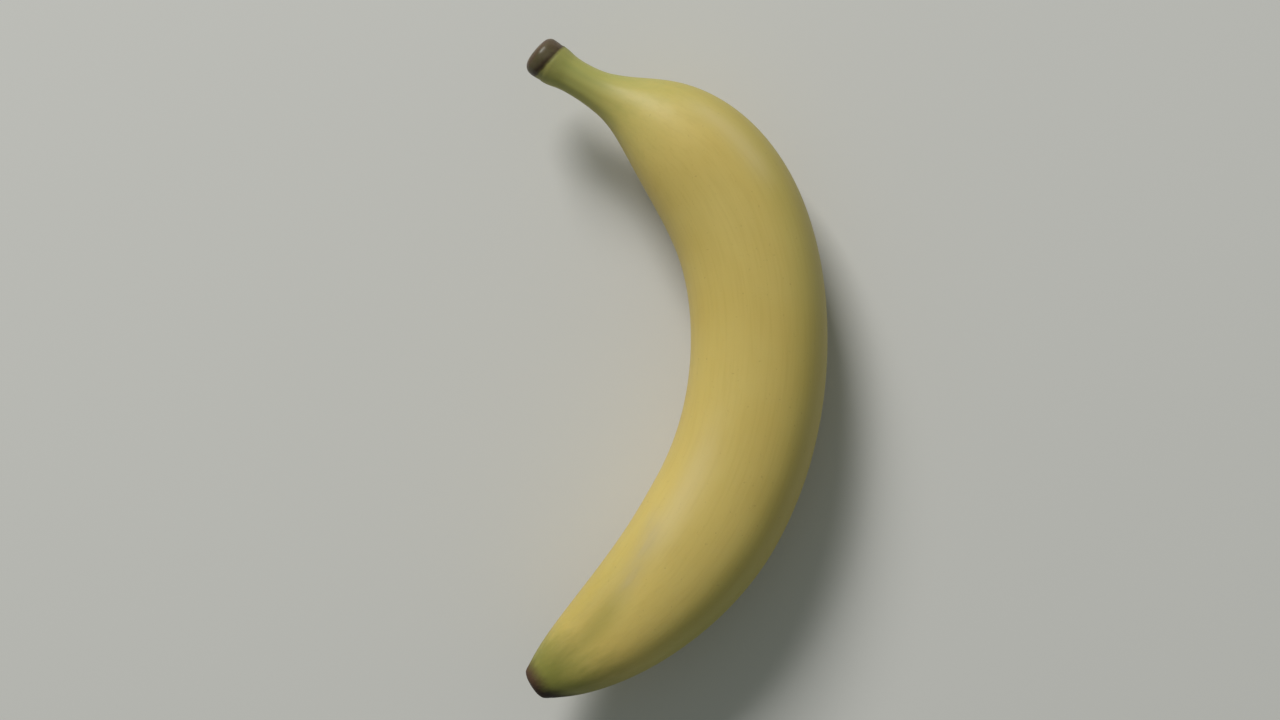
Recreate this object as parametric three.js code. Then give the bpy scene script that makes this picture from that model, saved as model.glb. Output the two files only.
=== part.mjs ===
// A banana lying on its side, in millimetres, with +Z up.
// The bend lies flat in the XY plane: stem end at +Y, blossom end at -Y, hollow side towards -X.

import * as THREE from 'three';

// Driving dimensions

// Both lines below are chains of knots. A knot is a point, the heading there in degrees from +X,
// and how far the handles of the curve reach behind the point and ahead of it.

// The middle line, seen from above, from the cut end of the stem to the blossom end.
const MIDDLE_LINE = [
  { x: -36.9, y: 82.0, heading: -40, behind: 0, ahead: 5 },
  { x: -19.0, y: 71.2, heading: -25.7, behind: 3, ahead: 16 },
  { x: 21.2, y: 7.7, heading: -90, behind: 43.3, ahead: 53.8 },
  { x: -37.7, y: -82.2, heading: -146.9, behind: 22.9, ahead: 0 },
];

// The outline: x is the distance from the cut end along the middle line, y the half width between ribs.
// rings is how many rings of points the solid has up to the next knot.
const OUTLINE = [
  { x: 0, y: 0, heading: 90, behind: 0, ahead: 3.4, rings: 6 },
  { x: 3.0, y: 5.4, heading: 0, behind: 2.6, ahead: 1, rings: 3 },
  { x: 5.1, y: 5.3, heading: 0, behind: 0.8, ahead: 0.4, rings: 3 },
  { x: 6.1, y: 5.4, heading: -4, behind: 0.5, ahead: 3, rings: 4 },
  { x: 13, y: 4.55, heading: 0, behind: 4, ahead: 19.7, rings: 16 },
  { x: 71, y: 17.6, heading: 0, behind: 41, ahead: 45, rings: 14 },
  { x: 149, y: 17.6, heading: 0, behind: 27, ahead: 13, rings: 18 },
  { x: 212.6, y: 5.2, heading: -30.5, behind: 18.6, ahead: 0.7, rings: 3 },
  { x: 214.4, y: 4.0, heading: -58, behind: 0.4, ahead: 0.9, rings: 3 },
  { x: 215.2, y: 0, heading: -90, behind: 2.4, ahead: 0 },
];

const SIDES = 48;

// The section is a little less deep than wide, and the underside is pressed flat where it lies.
// The middle line is level under the body and rises towards the stem and the blossom end.
const DEPTH_TO_WIDTH = 35 / 36;
const MIDDLE_HEIGHT = 16.7;
const STEM_LIFT = { rise: 5.2, from: 0, to: 70 };
const TIP_LIFT = { rise: 4, from: 140, to: 214 };

// Soft ribs along the fruit. angle turns round the section from the back of the bend (0) over the top (90)
// to the hollow side (180). rise is the height as a share of the half width.
const RIBS = [
  { angle: -6, rise: 0.012 },
  { angle: 47, rise: 0.03 },
  { angle: 142, rise: 0.035 },
  { angle: 228, rise: 0.03 },
  { angle: 306, rise: 0.045 },
];
const RIB_TIGHTNESS = 10;

// The ribs start behind the stem's cap, are full on the body, sharpen before the tip and end at it.
const RIB_STEM = { from: 6, to: 15, share: 0.3 };
const RIB_BODY = { from: 15, to: 50, share: 0.7 };
const RIB_TAPER = { from: 100, to: 160, share: 1.1 };
const RIB_END = { from: 204, to: 214 };

// A shallow groove before the tip. It slants from the hollow side over the top: angle holds its place round
// the section at two distances along the fruit.
const GROOVE = { depth: 1, tightness: 10, from: 158, full: 181, fade: 198, to: 211 };
const GROOVE_SLANT = { from: 165, to: 205, startAngle: 129, endAngle: 96.5 };

const PEEL_COLOUR = 0xb9a660;
const PEEL_ROUGHNESS = 0.45;

// Lines

// A chain of Bezier curves through the knots.
function curveThrough(knots) {
  const line = new THREE.CurvePath();
  for (let i = 0; i + 1 < knots.length; i += 1) {
    const start = knots[i];
    const end = knots[i + 1];
    line.add(new THREE.CubicBezierCurve(
      new THREE.Vector2(start.x, start.y),
      handle(start, start.ahead),
      handle(end, -end.behind),
      new THREE.Vector2(end.x, end.y),
    ));
  }
  return line;
}

function handle(knot, reach) {
  const heading = THREE.MathUtils.degToRad(knot.heading);
  return new THREE.Vector2(knot.x + reach * Math.cos(heading), knot.y + reach * Math.sin(heading));
}

// The outline as points for turning: half width in x, distance along the fruit in y.
function outlinePoints() {
  const points = [new THREE.Vector2(0, 0)];
  curveThrough(OUTLINE).curves.forEach((curve, i) => {
    const stretch = curve.getPoints(OUTLINE[i].rings).slice(1);
    points.push(...stretch.map((spot) => new THREE.Vector2(spot.y, spot.x)));
  });
  return points;
}

// Section

function smooth(along, span) {
  return THREE.MathUtils.smoothstep(along, span.from, span.to);
}

function ribStrength(along) {
  const stem = RIB_STEM.share * smooth(along, RIB_STEM);
  const body = RIB_BODY.share * smooth(along, RIB_BODY);
  const taper = RIB_TAPER.share * smooth(along, RIB_TAPER);
  return (stem + body + taper) * (1 - smooth(along, RIB_END));
}

// A round bump of height 1 at one angle of the section.
function bump(angle, centre, tightness) {
  const offset = angle - THREE.MathUtils.degToRad(centre);
  return Math.exp(tightness * (Math.cos(offset) - 1));
}

// Distance from the middle line to the peel, for a half width, an angle and a distance along the fruit.
function peelRadius(halfWidth, angle, along) {
  let ribs = 0;
  for (const rib of RIBS) {
    ribs += rib.rise * bump(angle, rib.angle, RIB_TIGHTNESS);
  }
  const grooveStart = THREE.MathUtils.smoothstep(along, GROOVE.from, GROOVE.full);
  const grooveEnd = 1 - THREE.MathUtils.smoothstep(along, GROOVE.fade, GROOVE.to);
  const slant = THREE.MathUtils.mapLinear(
    along,
    GROOVE_SLANT.from,
    GROOVE_SLANT.to,
    GROOVE_SLANT.startAngle,
    GROOVE_SLANT.endAngle,
  );
  const groove = GROOVE.depth * grooveStart * grooveEnd * bump(angle, slant, GROOVE.tightness);
  return halfWidth * (1 + ribStrength(along) * ribs) - groove;
}

function middleHeight(along) {
  const stem = STEM_LIFT.rise * (1 - smooth(along, STEM_LIFT));
  const tip = TIP_LIFT.rise * smooth(along, TIP_LIFT);
  return MIDDLE_HEIGHT + stem + tip;
}

// Solid

// Turns the outline about the Y axis, shapes each ring's ribs and carries the ring to its place on the
// middle line. The turned solid's +X becomes the back of the bend and its -Z becomes the top.
function bananaGeometry() {
  const geometry = new THREE.LatheGeometry(outlinePoints(), SIDES);
  const middleLine = curveThrough(MIDDLE_LINE);
  const length = OUTLINE[OUTLINE.length - 1].x;
  const spots = geometry.getAttribute('position');
  for (let i = 0; i < spots.count; i += 1) {
    const along = spots.getY(i);
    const halfWidth = Math.hypot(spots.getX(i), spots.getZ(i));
    const angle = Math.atan2(-spots.getZ(i), spots.getX(i));
    const radius = peelRadius(halfWidth, angle, along);
    const out = radius * Math.cos(angle);
    const up = radius * Math.sin(angle) * DEPTH_TO_WIDTH;
    const centre = middleLine.getPointAt(along / length);
    const heading = middleLine.getTangentAt(along / length);
    const x = centre.x - out * heading.y;
    const y = centre.y + out * heading.x;
    spots.setXYZ(i, x, y, Math.max(0, middleHeight(along) + up));
  }
  geometry.computeBoundingBox();
  const middle = geometry.boundingBox.getCenter(new THREE.Vector3());
  geometry.translate(-middle.x, -middle.y, 0);
  geometry.computeVertexNormals();
  return geometry;
}

// Scene

const peel = new THREE.MeshStandardMaterial({
  color: PEEL_COLOUR,
  roughness: PEEL_ROUGHNESS,
  metalness: 0,
});

const banana = new THREE.Mesh(bananaGeometry(), peel);
banana.name = 'banana';

const part = new THREE.Group();
part.add(banana);

export default part;
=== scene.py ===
# %% [markdown]
# # A ripe banana, lying on its side
#
# This lesson dresses one solid, the node `banana`, with a peel that has its own fine shape and finish. The
# solid was made with +Z up and the bend flat on the floor, so a camera that looks straight down sees the
# fruit in profile: stem at the top, blossom end at the bottom, hollow side on the left.
#
# We start by loading the imported solid. It is the fixed frame: nothing here moves it or changes its size,
# and its box is kept so that the dressed fruit can be lined up with it.

# %% Load the frame
import math

import bpy
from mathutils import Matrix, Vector
from mathutils.bvhtree import BVHTree


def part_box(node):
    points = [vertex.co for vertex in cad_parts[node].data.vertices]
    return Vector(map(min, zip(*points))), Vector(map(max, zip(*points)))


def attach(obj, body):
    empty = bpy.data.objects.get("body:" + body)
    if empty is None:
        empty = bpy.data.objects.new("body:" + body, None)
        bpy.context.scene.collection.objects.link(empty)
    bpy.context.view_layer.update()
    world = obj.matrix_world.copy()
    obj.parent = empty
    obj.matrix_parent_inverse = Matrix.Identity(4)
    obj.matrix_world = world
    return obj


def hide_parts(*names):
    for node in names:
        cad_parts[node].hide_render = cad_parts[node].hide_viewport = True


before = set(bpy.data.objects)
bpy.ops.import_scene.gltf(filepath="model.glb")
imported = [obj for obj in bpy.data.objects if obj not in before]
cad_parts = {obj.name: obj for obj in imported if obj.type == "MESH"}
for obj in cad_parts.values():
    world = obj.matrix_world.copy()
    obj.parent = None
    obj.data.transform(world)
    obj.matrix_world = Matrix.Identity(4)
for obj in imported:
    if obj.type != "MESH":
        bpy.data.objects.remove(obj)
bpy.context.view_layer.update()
fruit_low, fruit_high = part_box("banana")
print("solid banana, millimetres:", [round(1000 * side, 1) for side in fruit_high - fruit_low])

# %% [markdown]
# ## Two lines that make the fruit
#
# A banana is a round body carried along a bent line. Two lines say it all: the middle line, seen from
# above, and the outline, which gives the half width at each distance from the cut end of the stem. A
# sculpted mesh would need thousands of points placed by hand; the middle line needs four knots, and the
# outline ten.
#
# A knot holds a point in millimetres, the heading there in degrees, and how far the curve's two handles
# reach behind the point and ahead of it. They are the knots of the solid, so that the peel lies where the
# solid is.

# %% Knots of the two lines
MIDDLE_LINE = [
    (-36.9, 82.0, -40, 0, 5),
    (-19.0, 71.2, -25.7, 3, 16),
    (21.2, 7.7, -90, 43.3, 53.8),
    (-37.7, -82.2, -146.9, 22.9, 0),
]

OUTLINE = [
    (0, 0, 90, 0, 3.4),
    (3.0, 5.4, 0, 2.6, 1),
    (5.1, 5.3, 0, 0.8, 0.4),
    (6.1, 5.4, -4, 0.5, 3),
    (13, 4.55, 0, 4, 19.7),
    (71, 17.6, 0, 41, 45),
    (149, 17.6, 0, 27, 13),
    (212.6, 5.2, -30.5, 18.6, 0.7),
    (214.4, 4.0, -58, 0.4, 0.9),
    (215.2, 0, -90, 2.4, 0),
]

FRUIT_LENGTH = OUTLINE[-1][0]
print("knots:", len(MIDDLE_LINE), "on the middle line,", len(OUTLINE), "on the outline")

# %% Curves through the knots
MM = 0.001
STEPS_PER_KNOT = 64


def bezier_line(name, knots):
    """A Bezier curve object through the knots, in metres, lying in the XY plane."""
    curve = bpy.data.curves.new(name, "CURVE")
    curve.dimensions = "3D"
    spline = curve.splines.new("BEZIER")
    spline.resolution_u = STEPS_PER_KNOT
    spline.bezier_points.add(len(knots) - 1)
    for point, (x, y, heading, behind, ahead) in zip(spline.bezier_points, knots):
        turn = math.radians(heading)
        direction = Vector((math.cos(turn), math.sin(turn), 0))
        spot = Vector((x, y, 0))
        point.handle_left_type = "FREE"
        point.handle_right_type = "FREE"
        point.co = spot * MM
        point.handle_left = (spot - direction * behind) * MM
        point.handle_right = (spot + direction * ahead) * MM
    line = bpy.data.objects.new(name, curve)
    bpy.context.scene.collection.objects.link(line)
    return line


middle_line = bezier_line("middle_line", MIDDLE_LINE)
outline = bezier_line("outline", OUTLINE)
print("middle line, millimetres:", round(middle_line.data.splines[0].calc_length() / MM, 1))

# %% [markdown]
# ## Small helpers for node trees
#
# Geometry trees and shader trees are both built from nodes and links. A few short helpers keep the later
# cells readable. `place` adds a node and feeds its inputs, `reckon` does one sum, and `apart` splits a
# vector.
#
# The sums built on them come back in every later cell. A span is a pair of values: `smooth_step` goes from
# 0 at the first to 1 at the second, which may be the smaller one, and `between` rises over one span and
# falls over another.

# %% Node helpers
def feed(tree, socket, value):
    """Links a socket to another socket, or sets its fixed value."""
    if isinstance(value, bpy.types.NodeSocket):
        tree.links.new(value, socket)
    else:
        socket.default_value = value


def place(tree, kind, inputs=None, **properties):
    """Adds a node with these properties and feeds its inputs, named or counted."""
    node = tree.nodes.new(kind)
    for name, value in properties.items():
        setattr(node, name, value)
    for name, value in (inputs or {}).items():
        feed(tree, node.inputs[name], value)
    return node


def reckon(tree, operation, *values):
    """The result of a Math node."""
    return place(tree, "ShaderNodeMath", dict(enumerate(values)), operation=operation).outputs[0]


def apart(tree, vector):
    """The three numbers of a vector."""
    return place(tree, "ShaderNodeSeparateXYZ", {"Vector": vector}).outputs[:]


print("node helpers: feed, place, reckon, apart")

# %% Sums of sockets
def joined(tree, operation, values):
    """Several values joined by one operation, each with the result so far."""
    result = values[0]
    for value in values[1:]:
        result = reckon(tree, operation, result, value)
    return result


def total(tree, *values):
    """The sum of several values."""
    return joined(tree, "ADD", values)


def product(tree, *values):
    """The product of several values: each further mask narrows the ones before it."""
    return joined(tree, "MULTIPLY", values)


def largest(tree, *values):
    """The largest of several values."""
    return joined(tree, "MAXIMUM", values)


def scaled(tree, value, factor, offset=0.0):
    """A value times a factor, plus an offset."""
    return reckon(tree, "MULTIPLY_ADD", value, factor, offset)


def smooth_step(tree, value, span):
    """0 up to the span's first value, 1 from its second, and a smooth change between them."""
    inputs = {"Value": value, "From Min": span[0], "From Max": span[1]}
    return place(tree, "ShaderNodeMapRange", inputs, interpolation_type="SMOOTHSTEP").outputs["Result"]


def between(tree, value, rise, fall):
    """A smooth rise over one span and a smooth fall over another."""
    return product(tree, smooth_step(tree, value, rise), smooth_step(tree, value, fall))


print("sums: total, product, largest, scaled, smooth_step, between")

# %% [markdown]
# ## A soft rib as a node group
#
# A banana's section is not a circle: five soft ribs run along it, with flatter faces between them. Each rib
# is one round bump in the section, and so is the shallow groove near the blossom end, only pressed in. The
# finish needs the same bump again, for the painted highlight on two ribs and for the marks along the
# groove.
# So it becomes a group with named inputs: the angle round the fruit, the rib's own angle, and how tight the
# bump is.
#
# A geometry tree can't hold a shader group, so the same function makes the group once for each kind of
# tree.

# %% Rib group
def add_sockets(tree, direction, kinds):
    """Gives a node group its named sockets."""
    for name, kind in kinds.items():
        tree.interface.new_socket(name=name, in_out=direction, socket_type=kind)


def rib_group(name, tree_kind):
    """A group that gives a bump of height 1 at one angle of the section."""
    tree = bpy.data.node_groups.new(name, tree_kind)
    add_sockets(tree, "INPUT", dict.fromkeys(("Angle", "Centre", "Tightness"), "NodeSocketFloat"))
    add_sockets(tree, "OUTPUT", {"Height": "NodeSocketFloat"})
    group_inputs = tree.nodes.new("NodeGroupInput").outputs
    offset = reckon(tree, "SUBTRACT", group_inputs["Angle"], group_inputs["Centre"])
    fall = reckon(tree, "SUBTRACT", reckon(tree, "COSINE", offset), 1.0)
    height = reckon(tree, "EXPONENT", product(tree, fall, group_inputs["Tightness"]))
    place(tree, "NodeGroupOutput", {"Height": height})
    return tree


section_rib = rib_group("soft rib of the section", "GeometryNodeTree")
finish_rib = rib_group("soft rib of the finish", "ShaderNodeTree")
print("rib group sockets:", [item.name for item in section_rib.interface.items_tree])

# %% Placing a group
def placed_group(tree, group, inputs):
    """Places a node group in a tree of its own kind and gives its outputs."""
    group_node = tree.bl_idname.replace("Tree", "Group")
    return place(tree, group_node, inputs, node_tree=group).outputs


def rib_height(tree, group, angle, centre, tightness):
    """The height of one rib at an angle of the section, from 0 to 1."""
    return placed_group(tree, group, {"Angle": angle, "Centre": centre, "Tightness": tightness})["Height"]


print("groups for ribs:", section_rib.name, "and", finish_rib.name)

# %% [markdown]
# ## The peel as a Geometry Nodes tree
#
# The body could be lofted in mesh code, or made from a curve with a bevel. A curve's bevel keeps one
# section all along, and here the ribs grow and fade, so a Geometry Nodes tree is the better tool: it starts
# from a flat grid, reads its rows as rings along the outline and its columns as sides round the section,
# and sets each point where the rule puts it. Its sizes are named inputs, so that they can be changed
# without opening the tree.

# %% Inputs of the peel tree
peel_rule = bpy.data.node_groups.new("peel along a bent line", "GeometryNodeTree")
add_sockets(peel_rule, "OUTPUT", {"Geometry": "NodeSocketGeometry"})
add_sockets(peel_rule, "INPUT", {
    "Geometry": "NodeSocketGeometry",
    "Middle Line": "NodeSocketObject",
    "Outline": "NodeSocketObject",
    "Finish": "NodeSocketMaterial",
    "Rings": "NodeSocketInt",
    "Sides": "NodeSocketInt",
    "End Crowding": "NodeSocketFloat",
    "Middle Height": "NodeSocketFloat",
    "Stem Lift": "NodeSocketFloat",
    "Tip Lift": "NodeSocketFloat",
    "Depth To Width": "NodeSocketFloat",
    "Rib Tightness": "NodeSocketFloat",
    "Groove Depth": "NodeSocketFloat",
    "Unevenness": "NodeSocketFloat",
    "Seed": "NodeSocketFloat",
})
given = peel_rule.nodes.new("NodeGroupInput").outputs
print("inputs of the peel tree:", [socket.name for socket in given if socket.name])

# %% [markdown]
# ## A grid that becomes rings
#
# A mesh grid one unit wide gives a row for each ring and a column for each side. The rings crowd together
# at both ends, where the cap and the tip turn sharply: a sine wave moves each row towards the nearer end.
# The seam, where the first side meets the last, runs along the underside. The outline then tells each ring
# how far along the fruit it lies and how wide the fruit is there.

# %% Rings and sides
GRID_HALF = 0.5
SEAM_ANGLE = math.radians(270)

columns = reckon(peel_rule, "ADD", given["Sides"], 1)
inputs = {"Size X": 1.0, "Size Y": 1.0, "Vertices X": given["Rings"], "Vertices Y": columns}
grid = place(peel_rule, "GeometryNodeMeshGrid", inputs).outputs["Mesh"]
grid_x, grid_y, _ = apart(peel_rule, place(peel_rule, "GeometryNodeInputPosition").outputs[0])
row = reckon(peel_rule, "ADD", grid_x, GRID_HALF)
column = reckon(peel_rule, "ADD", grid_y, GRID_HALF)
wave = reckon(peel_rule, "SINE", scaled(peel_rule, row, math.tau))
crowding = product(peel_rule, reckon(peel_rule, "DIVIDE", wave, math.tau), given["End Crowding"])
ring_share = reckon(peel_rule, "SUBTRACT", row, crowding)
side_angle = scaled(peel_rule, column, -math.tau, SEAM_ANGLE)
print("peel tree:", len(peel_rule.nodes), "nodes after the grid")

# %% Distance along the fruit and half width
def sampled(tree, line_object, share):
    """The place and heading at a share of a line's length."""
    line = place(tree, "GeometryNodeObjectInfo", {"Object": line_object}).outputs["Geometry"]
    return place(tree, "GeometryNodeSampleCurve", {"Curves": line, "Factor": share}, mode="FACTOR").outputs


outline_place = sampled(peel_rule, given["Outline"], ring_share)["Position"]
ring_along, half_width, _ = apart(peel_rule, outline_place)
ring_along_mm = scaled(peel_rule, ring_along, 1 / MM)
print("peel tree:", len(peel_rule.nodes), "nodes after the outline")

# %% [markdown]
# ## Ribs and groove
#
# The ribs are soft on the stem, full on the body and sharper towards the blossom end. The peel's distance
# from the middle line is the half width, swollen by the ribs, less the shallow groove that slants over the
# upper side before the tip. Angles turn from the back of the bend (0) over the top (90) to the hollow side
# (180), and spans along the fruit are in millimetres from the cut end.

# %% Ribs
RIB_ANGLES_AND_RISES = [(-6, 0.012), (47, 0.03), (142, 0.035), (228, 0.03), (306, 0.045)]
RIB_SPANS_AND_SHARES = [((6, 15), 0.3), ((15, 50), 0.7), ((100, 160), 1.1)]
RIB_END = (214, 204)

bumps = []
for degrees, rise in RIB_ANGLES_AND_RISES:
    centre = math.radians(degrees)
    bump_height = rib_height(peel_rule, section_rib, side_angle, centre, given["Rib Tightness"])
    bumps.append(scaled(peel_rule, bump_height, rise))
strengths = []
for span, share in RIB_SPANS_AND_SHARES:
    strengths.append(scaled(peel_rule, smooth_step(peel_rule, ring_along_mm, span), share))
rib_end = smooth_step(peel_rule, ring_along_mm, RIB_END)
rib_strength = product(peel_rule, total(peel_rule, *strengths), rib_end)
swell = scaled(peel_rule, total(peel_rule, *bumps), rib_strength, 1.0)
print("ribs:", len(bumps))

# %% Groove
GROOVE_START = (158, 181)
GROOVE_END = (211, 198)
GROOVE_TIGHTNESS = 10
SLANT_SPAN = (165, 205)
SLANT_ANGLES = (129, 96.5)


def groove_angle(tree, along_mm):
    """The groove's angle round the section, which moves over the upper side towards the tip."""
    inputs = {
        "Value": along_mm,
        "From Min": SLANT_SPAN[0],
        "From Max": SLANT_SPAN[1],
        "To Min": math.radians(SLANT_ANGLES[0]),
        "To Max": math.radians(SLANT_ANGLES[1]),
    }
    return place(tree, "ShaderNodeMapRange", inputs, clamp=False).outputs["Result"]


slant = groove_angle(peel_rule, ring_along_mm)
groove_width = rib_height(peel_rule, section_rib, side_angle, slant, GROOVE_TIGHTNESS)
groove_length = between(peel_rule, ring_along_mm, GROOVE_START, GROOVE_END)
dip = product(peel_rule, groove_width, groove_length, given["Groove Depth"])
even_radius = reckon(peel_rule, "SUBTRACT", product(peel_rule, half_width, swell), dip)
print("peel tree:", len(peel_rule.nodes), "nodes after the section")

# %% [markdown]
# ## A little unevenness
#
# Nothing that grows is exact. The body has broad, faint lumps, the stem is fluted, and the cap and the tip
# are rough where they have dried. Such lumps could be pressed in by hand in Sculpt Mode; noise with a fixed
# seed gives the same ones each time. The noise reads the point's place on an unbent fruit, so it can be
# drawn out along the fruit and follows the bend. The same place is stored later for the finish.

# %% Place on the unbent fruit
cosine = reckon(peel_rule, "COSINE", side_angle)
sine = reckon(peel_rule, "SINE", side_angle)
straight = place(peel_rule, "ShaderNodeCombineXYZ", {
    "X": product(peel_rule, even_radius, cosine),
    "Y": product(peel_rule, even_radius, sine),
    "Z": ring_along,
}).outputs[0]
print("peel tree:", len(peel_rule.nodes), "nodes after the unbent place")

# %% Lumps of the body
LUMP_DETAIL = 2.0
BROAD_LUMP = 26 * MM
BROAD_STRETCH = 2.0
FINE_LUMP = 5 * MM
FINE_STRETCH = 3.0
FINE_LUMP_SHARE = 0.25


def rough_height(tree, spot, size, seed, stretch=1.0):
    """Noise from -1 to 1 with features of a size in metres, drawn out along the fruit by stretch."""
    inputs = {0: spot, 1: (1 / size, 1 / size, 1 / (size * stretch))}
    drawn = place(tree, "ShaderNodeVectorMath", inputs, operation="MULTIPLY").outputs[0]
    inputs = {"Vector": drawn, "W": seed, "Scale": 1.0, "Detail": LUMP_DETAIL}
    noise = place(tree, "ShaderNodeTexNoise", inputs, noise_dimensions="4D").outputs[0]
    return scaled(tree, noise, 2.0, -1.0)


broad_lumps = rough_height(peel_rule, straight, BROAD_LUMP, given["Seed"], BROAD_STRETCH)
fine_lumps = rough_height(peel_rule, straight, FINE_LUMP, given["Seed"], FINE_STRETCH)
body_lumps = total(peel_rule, broad_lumps, scaled(peel_rule, fine_lumps, FINE_LUMP_SHARE))
print("lumps, millimetres:", BROAD_LUMP / MM, "and", FINE_LUMP / MM)

# %% Flutes of the stem and dry ends
FLUTES = 11
FLUTE_WANDER = 1.5
FLUTE_START = (6, 10)
FLUTE_END = (34, 18)
FLUTE_SHARE = 0.22
DRY_LUMP = 1.6 * MM
CAP_ROUGH = (5.2, 4.4)
TIP_ROUGH = (209, 213)
POLE_CALM = (0.0, 2.5 * MM)

flute_wave = scaled(peel_rule, broad_lumps, FLUTE_WANDER, scaled(peel_rule, side_angle, FLUTES))
flute_length = between(peel_rule, ring_along_mm, FLUTE_START, FLUTE_END)
flutes = product(peel_rule, reckon(peel_rule, "COSINE", flute_wave), flute_length, FLUTE_SHARE)
dry_cap = smooth_step(peel_rule, ring_along_mm, CAP_ROUGH)
dry_tip = smooth_step(peel_rule, ring_along_mm, TIP_ROUGH)
dry_lumps = rough_height(peel_rule, straight, DRY_LUMP, given["Seed"])
dry_lumps = product(peel_rule, dry_lumps, total(peel_rule, dry_cap, dry_tip))

# Nothing is lifted at the two poles, where all sides meet in one point.
off_pole = smooth_step(peel_rule, half_width, POLE_CALM)
lumps = product(peel_rule, total(peel_rule, body_lumps, flutes, dry_lumps), off_pole, given["Unevenness"])
radius = reckon(peel_rule, "ADD", even_radius, lumps)
print("peel tree:", len(peel_rule.nodes), "nodes after the unevenness")

# %% [markdown]
# ## Bending and lifting
#
# Each ring is carried to its place on the middle line and turned to the line's heading. A Curve modifier
# could bend a straight fruit too, but it would follow one curve in all three directions; here the bend is
# flat, and the height has a rule of its own. The middle line is level under the body and rises a little
# towards the stem and the tip, which hang free. Where the fruit lies, the peel is pressed flat: no point
# goes below the floor.

# %% Bend and lift
STEM_RISE = (70, 0)
TIP_RISE = (140, 214)

length_share = reckon(peel_rule, "DIVIDE", ring_along, FRUIT_LENGTH * MM)
bent = sampled(peel_rule, given["Middle Line"], length_share)
heading_x, heading_y, _ = apart(peel_rule, bent["Tangent"])
middle_x, middle_y, _ = apart(peel_rule, bent["Position"])
stem_lift = product(peel_rule, smooth_step(peel_rule, ring_along_mm, STEM_RISE), given["Stem Lift"])
tip_lift = product(peel_rule, smooth_step(peel_rule, ring_along_mm, TIP_RISE), given["Tip Lift"])
middle_height = total(peel_rule, given["Middle Height"], stem_lift, tip_lift)
reach_out = product(peel_rule, radius, cosine)
reach_up = product(peel_rule, radius, sine, given["Depth To Width"])
position = place(peel_rule, "ShaderNodeCombineXYZ", {
    "X": reckon(peel_rule, "SUBTRACT", middle_x, product(peel_rule, reach_out, heading_y)),
    "Y": scaled(peel_rule, reach_out, heading_x, middle_y),
    "Z": largest(peel_rule, total(peel_rule, reach_up, middle_height), 0.0),
}).outputs[0]
print("peel tree:", len(peel_rule.nodes), "nodes after the bend")

# %% [markdown]
# ## Closing the mesh
#
# The unbent place is stored as an attribute before the points move, because the finish will read it. Then
# the points are set, and the seam and the two poles are closed by merging points that lie in one place. The
# tree ends in a real mesh with its material.

# %% End of the peel tree
MERGE_DISTANCE = 0.002 * MM

inputs = {"Geometry": grid, "Name": "straight", "Value": straight}
mesh = place(peel_rule, "GeometryNodeStoreNamedAttribute", inputs, data_type="FLOAT_VECTOR", domain="POINT")
mesh = place(peel_rule, "GeometryNodeSetPosition", {"Geometry": mesh.outputs[0], "Position": position})
inputs = {"Geometry": mesh.outputs[0], "Distance": MERGE_DISTANCE}
mesh = place(peel_rule, "GeometryNodeMergeByDistance", inputs)
mesh = place(peel_rule, "GeometryNodeSetShadeSmooth", {"Geometry": mesh.outputs[0]})
mesh = place(peel_rule, "GeometryNodeRealizeInstances", {"Geometry": mesh.outputs[0]})
inputs = {"Geometry": mesh.outputs[0], "Material": given["Finish"]}
mesh = place(peel_rule, "GeometryNodeSetMaterial", inputs)
place(peel_rule, "NodeGroupOutput", {"Geometry": mesh.outputs[0]})
print("peel tree:", len(peel_rule.nodes), "nodes in all")

# %% [markdown]
# ## The finish of the peel
#
# A ripe peel is a satin, waxy skin. It is never one yellow: fibres run along it, the neck and the blossom
# end stay green, the cut stem has dried to a brown cap with a darker ring, and the tip is almost black.
# Painting this would need a picture; here each mark is a mask made from the stored unbent place, so it
# follows the bend.
#
# Two kinds of noise are used again and again, so each is a group: fibres, which are drawn out along the
# fruit, and patches, which are of one size in all directions.

# %% Noise groups
NOISE_DETAIL = 3.0
FIBRE_STRETCH = 22
PATCH_STRETCH = 1


def noise_group(name, stretch):
    """A group that gives noise from 0 to 1 with features of a size in millimetres."""
    tree = bpy.data.node_groups.new(name, "ShaderNodeTree")
    add_sockets(tree, "INPUT", {"Place": "NodeSocketVector"})
    add_sockets(tree, "INPUT", dict.fromkeys(("Size", "Seed"), "NodeSocketFloat"))
    add_sockets(tree, "OUTPUT", {"Value": "NodeSocketFloat"})
    group_inputs = tree.nodes.new("NodeGroupInput").outputs
    scale = reckon(tree, "DIVIDE", 1.0, group_inputs["Size"])
    inputs = {0: group_inputs["Place"], 1: (1, 1, 1 / stretch)}
    drawn = place(tree, "ShaderNodeVectorMath", inputs, operation="MULTIPLY").outputs[0]
    inputs = {"Vector": drawn, "W": group_inputs["Seed"], "Scale": scale, "Detail": NOISE_DETAIL}
    noise = place(tree, "ShaderNodeTexNoise", inputs, noise_dimensions="4D").outputs[0]
    place(tree, "NodeGroupOutput", {"Value": noise})
    return tree


fibres = noise_group("fibres", FIBRE_STRETCH)
patches = noise_group("patches", PATCH_STRETCH)
print("noise groups:", fibres.name, "and", patches.name)

# %% Masks from noise
def noise_value(tree, group, spot, size, seed):
    """The value of one of the noise groups, with features of a size in millimetres."""
    return placed_group(tree, group, {"Place": spot, "Size": size, "Seed": seed})["Value"]


def marks(tree, group, spot, size, seed, span, share=1.0):
    """A mask of marks: 0 where the noise is under the span, and the share where it is over it."""
    noise = noise_value(tree, group, spot, size, seed)
    return scaled(tree, smooth_step(tree, noise, span), share)


print("masks: noise_value, marks")

# %% Colours of the peel
MIX_FIRST = 6
MIX_SECOND = 7
MIX_RESULT = 2


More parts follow.
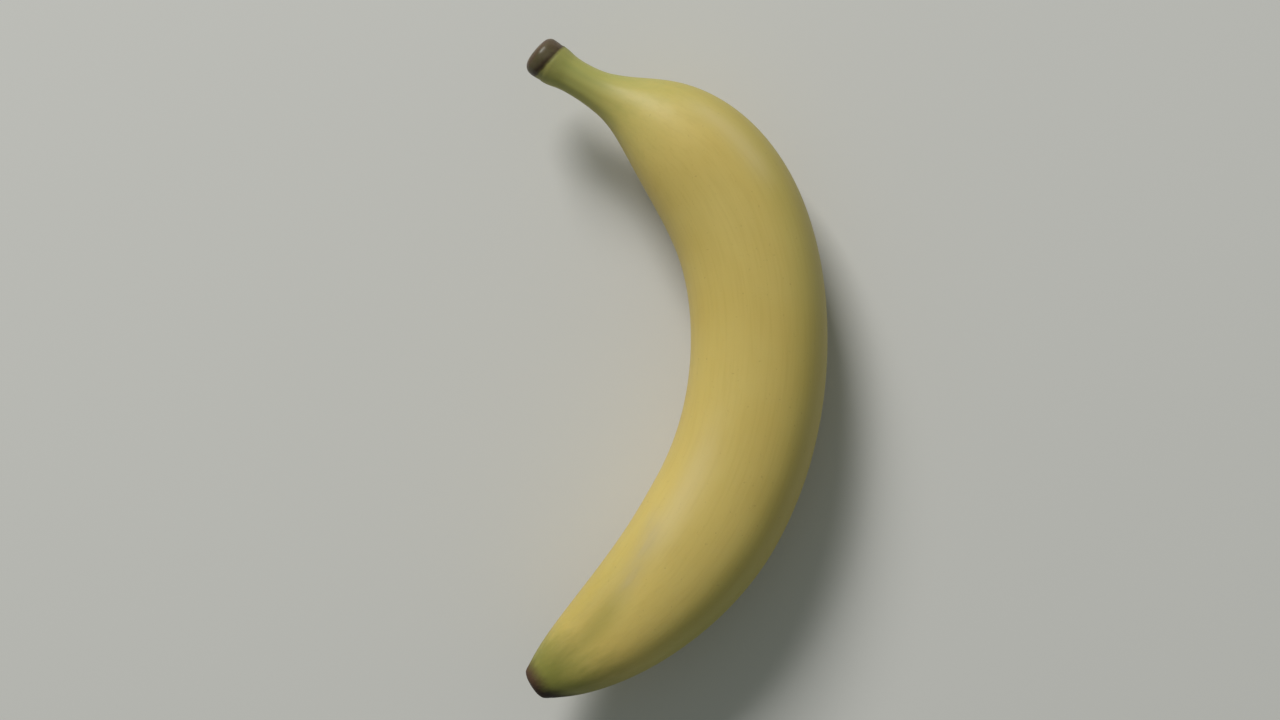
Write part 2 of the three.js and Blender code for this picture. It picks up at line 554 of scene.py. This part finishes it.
def linear(hex_colour):
    """A colour written as on a screen, turned to the linear numbers that Blender's nodes use."""
    shares = [int(hex_colour[i:i + 2], 16) / 255 for i in (1, 3, 5)]
    return (*[s / 12.92 if s <= 0.04045 else ((s + 0.055) / 1.055) ** 2.4 for s in shares], 1.0)


def blend_colour(tree, share, first, second):
    """One colour going over into another. The Mix node has its colours on sockets of their own."""
    inputs = {0: share, MIX_FIRST: first, MIX_SECOND: second}
    return place(tree, "ShaderNodeMix", inputs, data_type="RGBA").outputs[MIX_RESULT]


RIPE_PALE = linear("#d2bd70")
RIPE_DEEP = linear("#c6ab57")
FIBRE_SHADE = linear("#b39a4c")
# Partly the peel's olive, partly painted shade on the back of the bend.
BACK_OLIVE_AND_SHADE = linear("#a9a253")
PORE_BROWN = linear("#8f7340")
# A pale colour for a painted highlight along two ribs.
PALE_SHEEN = linear("#d6c595")
NECK_GREEN = linear("#979b56")
TIP_GREEN = linear("#84823c")
# Grey of a faint streak along the crease of the groove.
CREASE_GREY = linear("#b3a583")
CAP_BROWN = linear("#5c523c")
CAP_OLIVE = linear("#4e472c")
CAP_RED = linear("#523a2e")
CUT_PALE = linear("#8a7858")
RING_DARK = linear("#3b2a1c")
TIP_BROWN = linear("#513b29")
TIP_DARK = linear("#2b1f19")
print("pale ripe yellow, linear:", [round(part, 3) for part in RIPE_PALE])

# %% [markdown]
# ## Where on the fruit
#
# The material starts by reading the stored place, in millimetres: how far out from the middle line towards
# the back of the bend, how far up, and how far along from the cut end. The angle round the section follows
# from the first two. Marks on a fruit don't end at a clean line, so a ragged value is made as well, which
# later moves the ends of the marks to and fro along the fibres.

# %% Start of the peel material
# Here and below, a noise is given by the size of its features in millimetres and by its seed.
SMALL_PATCHES = (3.2, 2.0)
RAGGED_FIBRES = (1.4, 6.0)
NOISE_MIDDLE = 0.5

peel_finish = bpy.data.materials.new("banana_peel")
peel_finish.use_nodes = True
finish = peel_finish.node_tree
finish.nodes.clear()
stored = place(finish, "ShaderNodeAttribute", attribute_type="GEOMETRY", attribute_name="straight")
inputs = {0: stored.outputs["Vector"], "Scale": 1 / MM}
spot = place(finish, "ShaderNodeVectorMath", inputs, operation="SCALE").outputs[0]
out, up, along = apart(finish, spot)
angle = reckon(finish, "ARCTAN2", up, out)
small_patches = noise_value(finish, patches, spot, *SMALL_PATCHES)
ragged = reckon(finish, "SUBTRACT", noise_value(finish, fibres, spot, *RAGGED_FIBRES), NOISE_MIDDLE)
print("peel material:", len(finish.nodes), "nodes after the place")

# %% [markdown]
# ## Ripe yellow
#
# The yellow drifts in broad patches from pale to deep. The back of the bend is olive and darker, most of it
# near the blossom end: partly the peel's own olive, partly painted shade on the side that turns from the
# lamp.
# Over that lie fibres of two widths, and a few brown pores, the first of the freckles that a ripe peel
# gets.
# Each is a share of another colour laid over the one before it, as a painter's glaze would be; the noise
# that made the fibres is kept, because the relief uses it again.

# %% Yellow, fibres and pores
BROAD_PATCHES = (22.0, 1.0)
BACK_REACH = (4.0, 17.0)
BACK_SHARE = 0.45
LOW_BACK = (135.0, 180.0)
LOW_BACK_SHARE = 0.5
WIDE_FIBRES = (2.6, 4.0)
WIDE_SPAN = (0.45, 0.8)
WIDE_SHARE = 0.12
FINE_FIBRES = (0.7, 5.0)
FINE_SPAN = (0.45, 0.7)
FINE_SHARE = 0.14
PORES = (0.9, 10.0)
PORE_SPAN = (0.66, 0.74)
PORE_SHARE = 0.3

colour = blend_colour(finish, noise_value(finish, patches, spot, *BROAD_PATCHES), RIPE_PALE, RIPE_DEEP)
# The olive of the back is partly painted shade, laid on more strongly towards the blossom end.
low_back_shade = scaled(finish, smooth_step(finish, along, LOW_BACK), LOW_BACK_SHARE, BACK_SHARE)
back = product(finish, smooth_step(finish, out, BACK_REACH), low_back_shade)
colour = blend_colour(finish, back, colour, BACK_OLIVE_AND_SHADE)
wide_fibres = noise_value(finish, fibres, spot, *WIDE_FIBRES)
fine_fibres = noise_value(finish, fibres, spot, *FINE_FIBRES)
wide_shade = scaled(finish, smooth_step(finish, wide_fibres, WIDE_SPAN), WIDE_SHARE)
fine_shade = scaled(finish, smooth_step(finish, fine_fibres, FINE_SPAN), FINE_SHARE)
colour = blend_colour(finish, total(finish, wide_shade, fine_shade), colour, FIBRE_SHADE)
pores = marks(finish, patches, spot, *PORES, PORE_SPAN, PORE_SHARE)
colour = blend_colour(finish, pores, colour, PORE_BROWN)
print("peel material:", len(finish.nodes), "nodes after the yellow")

# %% [markdown]
# ## Painted sheen
#
# A pale sheen is painted along two ribs: on the shoulder of the body and above the groove. It is a painted
# highlight, laid into the colour, so it stays where it is when the fruit is turned. The rib group gives its
# width round the section, and a rise and a fall give its length, so it fades out on all sides.

# %% Painted sheen on two ribs
SHOULDER_SHEEN = {
    "centre": 53,
    "tightness": 60.0,
    "rise": (35.0, 45.0),
    "fall": (70.0, 58.0),
    "share": 0.36,
}
HOLLOW_SHEEN = {
    "centre": 122,
    "tightness": 40.0,
    "rise": (114.0, 142.0),
    "fall": (176.0, 160.0),
    "share": 0.33,
}


def sheen_on_rib(centre, tightness, rise, fall, share):
    """A mask that covers one rib of the fruit over a stretch of its length."""
    width = rib_height(finish, finish_rib, angle, math.radians(centre), tightness)
    return product(finish, width, between(finish, along, rise, fall), share)


# The sheen is a painted highlight on the two ribs, not a mark on the skin.
painted_sheen = total(finish, sheen_on_rib(**SHOULDER_SHEEN), sheen_on_rib(**HOLLOW_SHEEN))
colour = blend_colour(finish, painted_sheen, colour, PALE_SHEEN)
print("peel material:", len(finish.nodes), "nodes after the bloom")

# %% [markdown]
# ## Green that stays
#
# A banana ripens from the middle of the body. The neck stays green longest, in streaks, and its green
# reaches farther over the back than on the hollow side: partly the neck's own green, partly painted shade
# where the back of the neck turns from the lamp. At the other end the green covers the tip and runs up the
# groove before it. On the hollow side near the tip the same green is laid as painted shade. The three
# greens of the tip are joined by the largest, not added, so they don't darken each other.

# %% Green neck
GREEN_RAGGEDNESS = 9.0
STREAKS = (1.9, 7.0)
STREAK_SPAN = (0.3, 0.7)
STREAK_SHARE = 0.14
NECK_SHARE = 0.77
NECK_FADE = (47.0, 8.0)
NECK_BACK = (0.0, 8.0)
# How much farther along the green goes over the back of the neck, as painted shade, in millimetres.
NECK_SHADE_REACH = -5.5

ragged_along = scaled(finish, ragged, GREEN_RAGGEDNESS, along)
streaks = marks(finish, fibres, spot, *STREAKS, STREAK_SPAN)
# Painted shade: the green reaches farther along on the back of the neck, where the light falls off.
neck_end = scaled(finish, smooth_step(finish, out, NECK_BACK), NECK_SHADE_REACH, ragged_along)
neck_share = scaled(finish, streaks, STREAK_SHARE, NECK_SHARE)
neck = product(finish, smooth_step(finish, neck_end, NECK_FADE), neck_share)
colour = blend_colour(finish, neck, colour, NECK_GREEN)
print("peel material:", len(finish.nodes), "nodes after the neck")

# %% Green blossom end
BLOSSOM_FADE = (189.0, 211.0)
BLOSSOM_SLANT = 0.35
GROOVE_GREEN = (170.0, 190.0)
GROOVE_GREEN_TIGHTNESS = 22.0
GROOVE_GREEN_SHARE = 0.42
# Painted shade on the hollow side before the tip, laid in the tip's green.
HOLLOW_SHADE_SPAN = (152.0, 190.0)
HOLLOW_SIDE = (-3.0, -10.0)
HOLLOW_SHADE_SHARE = 0.2

groove_line = groove_angle(finish, along)
blossom_end = scaled(finish, out, BLOSSOM_SLANT, ragged_along)
blossom = smooth_step(finish, blossom_end, BLOSSOM_FADE)
green_width = rib_height(finish, finish_rib, angle, groove_line, GROOVE_GREEN_TIGHTNESS)
green_groove = product(finish, smooth_step(finish, along, GROOVE_GREEN), green_width, GROOVE_GREEN_SHARE)
# Painted shade: the hollow side near the tip is darkened with the tip's green.
hollow_side = smooth_step(finish, out, HOLLOW_SIDE)
painted_hollow_shade = product(finish, smooth_step(finish, along, HOLLOW_SHADE_SPAN), hollow_side, HOLLOW_SHADE_SHARE)
colour = blend_colour(finish, largest(finish, blossom, green_groove, painted_hollow_shade), colour, TIP_GREEN)
print("peel material:", len(finish.nodes), "nodes after the blossom end")

# %% [markdown]
# ## A grey streak
#
# The crease of the groove has a faint grey streak along its upper part, broken by the same streaks as the
# green. It is a much tighter bump at the groove's own slanting angle.

# %% Grey streak in the groove
CREASE_GREY_START = (152.0, 164.0)
CREASE_GREY_END = (188.0, 174.0)
CREASE_GREY_TIGHTNESS = 75.0
CREASE_GREY_SHARE = 0.2
CREASE_GREY_STREAKS = 0.3

crease = rib_height(finish, finish_rib, angle, groove_line, CREASE_GREY_TIGHTNESS)
crease_grey_share = scaled(finish, streaks, CREASE_GREY_STREAKS, CREASE_GREY_SHARE)
crease_grey = product(finish, between(finish, along, CREASE_GREY_START, CREASE_GREY_END), crease, crease_grey_share)
colour = blend_colour(finish, crease_grey, colour, CREASE_GREY)
print("peel material:", len(finish.nodes), "nodes after the rub")

# %% [markdown]
# ## The dried cap
#
# Where the fruit was cut from its bunch, the stem has dried to a cap: grey brown with olive patches,
# reddish round the rim of the cut and on the side of the back. On the cut face the ends of the fibres show
# as paler dots. They run along the stem, so a flat Voronoi texture is the right one: it reads only the two
# distances across the stem.
#
# The cap ends in a dark ring. It slants round the stem, is strongest on the hollow side and fades into the
# green of the neck.

# %% Colours of the cap
CAP_PATCHES = (0.35, 0.7)
RIM_START = (0.1, 0.7)
RIM_END = (1.7, 0.9)
RIM_SHARE = 0.6
FIBRE_END_SPACING = 0.85
FIBRE_END_EDGE = (0.5, 0.2)
CUT_FACE = (1.0, 0.3)
CUT_WEAR = (1.8, 8.0)
CUT_WEAR_SPAN = (0.3, 0.7)
CUT_SHARE = 0.75
CAP_BACK = (1.5, 4.8)
CAP_BACK_SHARE = 0.4

cap_colour = blend_colour(finish, smooth_step(finish, small_patches, CAP_PATCHES), CAP_BROWN, CAP_OLIVE)
rim = product(finish, between(finish, along, RIM_START, RIM_END), RIM_SHARE)
cap_colour = blend_colour(finish, rim, cap_colour, CAP_RED)
inputs = {"Vector": spot, "Scale": 1 / FIBRE_END_SPACING}
fibre_ends = place(finish, "ShaderNodeTexVoronoi", inputs, voronoi_dimensions="2D").outputs["Distance"]
fibre_ends = smooth_step(finish, fibre_ends, FIBRE_END_EDGE)
cut_wear = marks(finish, patches, spot, *CUT_WEAR, CUT_WEAR_SPAN, CUT_SHARE)
cut_face = product(finish, smooth_step(finish, along, CUT_FACE), fibre_ends, cut_wear)
cap_colour = blend_colour(finish, cut_face, cap_colour, CUT_PALE)
cap_back = scaled(finish, smooth_step(finish, out, CAP_BACK), CAP_BACK_SHARE)
cap_colour = blend_colour(finish, cap_back, cap_colour, CAP_RED)
print("peel material:", len(finish.nodes), "nodes after the cap's colours")

# %% Cap and ring
CAP_SLANT = -0.22
CAP_EDGE = (5.0, 4.4)
CAP_RAGGEDNESS = 0.5
RING_START = (3.2, 4.5)
RING_END = (5.8, 4.9)
RING_FADE = (9.5, 5.5)
RING_FADE_SHARE = 0.36
RING_RAGGEDNESS = 0.8
RING_SHARE = 0.9
RING_BACK = (-3.0, 4.0)
RING_BACK_LOSS = -0.4

cap_along = scaled(finish, out, CAP_SLANT, along)
cap = smooth_step(finish, scaled(finish, ragged, CAP_RAGGEDNESS, cap_along), CAP_EDGE)
colour = blend_colour(finish, cap, colour, cap_colour)
ring_place = scaled(finish, ragged, RING_RAGGEDNESS, cap_along)
ring_strength = scaled(finish, smooth_step(finish, out, RING_BACK), RING_BACK_LOSS, RING_SHARE)
ring_fade = scaled(finish, smooth_step(finish, ring_place, RING_FADE), RING_FADE_SHARE)
ring_length = largest(finish, smooth_step(finish, ring_place, RING_END), ring_fade)
ring = product(finish, smooth_step(finish, ring_place, RING_START), ring_length, ring_strength)
colour = blend_colour(finish, ring, colour, RING_DARK)
print("peel material:", len(finish.nodes), "nodes after the cap and its ring")

# %% [markdown]
# ## The dry tip
#
# The flower has left a dry, blunt end: brown on the hollow side, almost black on the back, where it also
# reaches farther up the fruit. Small patches break the border between the two browns.

# %% Tip
TIP_EDGE = (209.6, 214.2)
TIP_RAGGEDNESS = 1.8
TIP_BACK_START = -2.5
TIP_BACK_REACH = 0.9
TIP_SHADE_START = -1.5
TIP_SHADE_PATCHES = 3.0
TIP_SHADE_FADE = (-2.0, 5.0)

past_back = largest(finish, reckon(finish, "ADD", out, TIP_BACK_START), 0.0)
tip_along = scaled(finish, ragged, TIP_RAGGEDNESS, scaled(finish, past_back, TIP_BACK_REACH, along))
tip = smooth_step(finish, tip_along, TIP_EDGE)
tip_shade = scaled(finish, small_patches, TIP_SHADE_PATCHES, reckon(finish, "ADD", out, TIP_SHADE_START))
tip_colour = blend_colour(finish, smooth_step(finish, tip_shade, TIP_SHADE_FADE), TIP_BROWN, TIP_DARK)
colour = blend_colour(finish, tip, colour, tip_colour)
print("peel material:", len(finish.nodes), "nodes after the tip")

# %% [markdown]
# ## Gloss and fine relief
#
# The skin is satin. The tip has lost its wax and is dull, while the cap has a slight gloss. Fibres and
# grain are far too fine for the mesh, so they are a bump: strong enough to break the highlight, and deeper,
# with wrinkles, where the peel has dried.

# %% Gloss
SATIN = 0.42
SATIN_DRIFT = 0.1
TIP_DULLNESS = 0.3
CAP_GLOSS = -0.1

roughness = scaled(finish, small_patches, SATIN_DRIFT, SATIN)
roughness = scaled(finish, tip, TIP_DULLNESS, roughness)
roughness = scaled(finish, cap, CAP_GLOSS, roughness)
print("roughness of the skin:", SATIN, "to", SATIN + SATIN_DRIFT)

# %% Fine relief
CAP_DRYNESS = 0.5
WRINKLES = (1.3, 9.0)
GRAIN = (0.45, 3.0)
GRAIN_DEPTH = 0.5
FINE_FIBRE_DEPTH = 0.5
SKIN_DEPTH = 0.5
DRY_DEPTH = 1.5
BUMP_STRENGTH = 0.35
BUMP_DISTANCE = 0.15 * MM

dry = largest(finish, tip, scaled(finish, cap, CAP_DRYNESS))
wrinkles = product(finish, noise_value(finish, patches, spot, *WRINKLES), dry)
grain = scaled(finish, noise_value(finish, patches, spot, *GRAIN), GRAIN_DEPTH)
fine_relief = scaled(finish, fine_fibres, FINE_FIBRE_DEPTH)
relief = total(finish, fine_relief, grain, wide_fibres, wrinkles)
relief = product(finish, relief, scaled(finish, dry, DRY_DEPTH, SKIN_DEPTH))
inputs = {"Strength": BUMP_STRENGTH, "Distance": BUMP_DISTANCE, "Height": relief}
bump = place(finish, "ShaderNodeBump", inputs).outputs["Normal"]
print("peel material:", len(finish.nodes), "nodes after the relief")

# %% [markdown]
# ## The skin's shader
#
# One Principled shader takes the colour, the roughness and the bump. Values that are the same all over the
# peel are set on its own sockets: the index of refraction is lower than the usual one, which keeps the
# highlight faint, and a little light goes into the peel and comes out warmer beside it, which softens the
# shade.

# %% Shader of the peel
skin = place(finish, "ShaderNodeBsdfPrincipled", {
    "Base Color": colour,
    "Roughness": roughness,
    "IOR": 1.35,
    "Subsurface Weight": 0.12,
    "Subsurface Radius": (1.0, 0.7, 0.25),
    "Subsurface Scale": 2.0 * MM,
    "Normal": bump,
})
place(finish, "ShaderNodeOutputMaterial", {"Surface": skin.outputs[0]})
print("peel material:", len(finish.nodes), "nodes in all")

# %% [markdown]
# ## From rule to mesh
#
# The tree runs as a modifier on an empty mesh. Its inputs are set by the sockets' identifiers, before the
# object is evaluated for the first time. The result is then copied into a plain mesh, and the modifier and
# the two helper lines go: what is left is one closed mesh at the origin.

# %% Make the peel
PEEL_INPUTS = {
    "Middle Line": middle_line,
    "Outline": outline,
    "Finish": peel_finish,
    "Rings": 400,
    "Sides": 160,
    "End Crowding": 0.6,
    "Middle Height": 16.7 * MM,
    "Stem Lift": 5.2 * MM,
    "Tip Lift": 4.0 * MM,
    "Depth To Width": 35 / 36,
    "Rib Tightness": 10.0,
    "Groove Depth": 1.0 * MM,
    "Unevenness": 0.14 * MM,
    "Seed": 7.0,
}


def run_tree(name, tree, inputs):
    """Runs a tree on an empty mesh and returns an object that holds the result as a plain mesh."""
    holder = bpy.data.objects.new(name, bpy.data.meshes.new(name + "_empty"))
    bpy.context.scene.collection.objects.link(holder)
    modifier = holder.modifiers.new(tree.name, "NODES")
    modifier.node_group = tree
    sockets = {item.name: item.identifier for item in tree.interface.items_tree if item.in_out == "INPUT"}
    for label, value in inputs.items():
        modifier[sockets[label]] = value
    graph = bpy.context.evaluated_depsgraph_get()
    plain_mesh = bpy.data.meshes.new_from_object(holder.evaluated_get(graph), depsgraph=graph)
    plain_mesh.name = name
    holder.modifiers.remove(modifier)
    holder.data = plain_mesh
    return holder


peel = run_tree("banana_peel", peel_rule, PEEL_INPUTS)
for line in (middle_line, outline):
    bpy.data.objects.remove(line)
print("peel:", len(peel.data.vertices), "points,", len(peel.data.polygons), "faces")

# %% [markdown]
# ## In line with the solid
#
# The solid has its origin under the middle of its box, while the two lines have an origin of their own. So
# the peel's points are shifted, in the mesh itself, until the middles of both boxes agree from above. The
# distance from the peel to the solid then shows that one lies on the other, and the peel takes the solid's
# place.

# %% Line the peel up with the solid
fruit_middle = (fruit_low + fruit_high) / 2
peel_corners = [Vector(corner) for corner in peel.bound_box]
peel_low = Vector([min(corner[i] for corner in peel_corners) for i in range(3)])
peel_high = Vector([max(corner[i] for corner in peel_corners) for i in range(3)])
shift = fruit_middle - (peel_low + peel_high) / 2
shift.z = 0
for vertex in peel.data.vertices:
    vertex.co += shift
print("shift, millimetres:", [round(part / MM, 2) for part in shift])

# %% Put the peel in place of the solid
POINTS_PER_TEST = 7

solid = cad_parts["banana"].data
solid_tree = BVHTree.FromPolygons([v.co for v in solid.vertices], [p.vertices for p in solid.polygons])
tested = list(peel.data.vertices)[::POINTS_PER_TEST]
gaps = [solid_tree.find_nearest(vertex.co)[3] for vertex in tested]
print("farthest from the solid, millimetres:", round(max(gaps) / MM, 2))

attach(peel, "root")
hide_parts("banana")

# %% [markdown]
# ## Floor
#
# The fruit lies on a plain pale floor, wide enough to fill the picture from any side. One face is enough.
# It could have one flat colour; faint clouds keep it from looking like an empty page.

# %% Pale floor
FLOOR_HALF = 3.0
FLOOR_COLOUR = linear("#d3d1cc")
FLOOR_ROUGHNESS = 0.8
CLOUD_SCALE = 6.0
CLOUD_SHADE = 0.97


def clouded_material(name, colour, roughness):
    """A plain finish with slight clouds, for the floor."""
    material = bpy.data.materials.new(name)
    material.use_nodes = True
    tree = material.node_tree
    tree.nodes.clear()
    place_on_floor = place(tree, "ShaderNodeTexCoord").outputs["Object"]
    inputs = {"Vector": place_on_floor, "Scale": CLOUD_SCALE, "Detail": NOISE_DETAIL}
    clouds = place(tree, "ShaderNodeTexNoise", inputs).outputs[0]
    darker = (*[CLOUD_SHADE * part for part in colour[:3]], 1.0)
    shade = blend_colour(tree, clouds, colour, darker)
    shader = place(tree, "ShaderNodeBsdfPrincipled", {"Base Color": shade, "Roughness": roughness})
    place(tree, "ShaderNodeOutputMaterial", {"Surface": shader.outputs[0]})
    return material


floor_mesh = bpy.data.meshes.new("floor")
floor_turns = [(-1, -1), (1, -1), (1, 1), (-1, 1)]
floor_corners = [(FLOOR_HALF * x, FLOOR_HALF * y, 0) for x, y in floor_turns]
floor_mesh.from_pydata(floor_corners, [], [(0, 1, 2, 3)])
floor = bpy.data.objects.new("floor", floor_mesh)
floor.data.materials.append(clouded_material("pale_floor", FLOOR_COLOUR, FLOOR_ROUGHNESS))
bpy.context.scene.collection.objects.link(floor)
print("floor:", 2 * FLOOR_HALF, "metres wide")

# %% [markdown]
# ## Light
#
# The shading on the fruit tells where the light was: beyond the stem, a little to the left and well above
# the floor. The shoulder and the upper faces are lit, the hollow side keeps some light, and the back of the
# bend falls into shade towards the tip. One large soft lamp stands there, and a weak even sky fills the
# shade.

# %% Lamp and sky
LAMP_DIRECTION = Vector((-0.34, 0.725, 0.6)).normalized()
LAMP_DISTANCE = 3.0
LAMP_SIZE = 1.1
LAMP_POWER = 80.0
SKY_COLOUR = (0.9, 1.0, 0.94, 1.0)
SKY_STRENGTH = 0.21

lamp = bpy.data.lights.new("key_lamp", "AREA")
lamp.size = LAMP_SIZE
lamp.energy = LAMP_POWER
lamp_stand = bpy.data.objects.new("key_lamp", lamp)
lamp_stand.location = LAMP_DIRECTION * LAMP_DISTANCE
lamp_stand.rotation_euler = LAMP_DIRECTION.to_track_quat("Z", "Y").to_euler()
bpy.context.scene.collection.objects.link(lamp_stand)

world = bpy.data.worlds.new("sky")
world.use_nodes = True
sky = world.node_tree.nodes["Background"]
sky.inputs["Color"].default_value = SKY_COLOUR
sky.inputs["Strength"].default_value = SKY_STRENGTH
bpy.context.scene.world = world
bpy.context.scene.view_settings.view_transform = "Standard"
print("lamp:", LAMP_POWER, "watts; sky:", SKY_STRENGTH)

# %% [markdown]
# ## Camera
#
# The camera hangs straight above and looks down, with the stem at the top of the picture. Its height
# follows from the lens and from the width of the view at the fruit's middle height, where the outline is
# widest. Its place follows from the pixel of the photograph over which the origin of the two lines lies.

# %% Overhead camera
PHOTO_WIDTH = 1280
PHOTO_HEIGHT = 720
MM_PER_PIXEL = 0.26
LINES_ORIGIN_PIXEL = (677.3, 368.5)
LENS = 85.0
SENSOR = 36.0

view_width = PHOTO_WIDTH * MM_PER_PIXEL * MM
camera = bpy.data.cameras.new("overhead_camera")
camera.lens = LENS
camera.sensor_width = SENSOR
camera_stand = bpy.data.objects.new("overhead_camera", camera)
camera_stand.location = (
    (PHOTO_WIDTH / 2 - LINES_ORIGIN_PIXEL[0]) * MM_PER_PIXEL * MM + shift.x,
    (LINES_ORIGIN_PIXEL[1] - PHOTO_HEIGHT / 2) * MM_PER_PIXEL * MM + shift.y,
    PEEL_INPUTS["Middle Height"] + view_width * LENS / SENSOR,
)
bpy.context.scene.collection.objects.link(camera_stand)
bpy.context.scene.camera = camera_stand
print("camera height, metres:", round(camera_stand.location.z, 3))
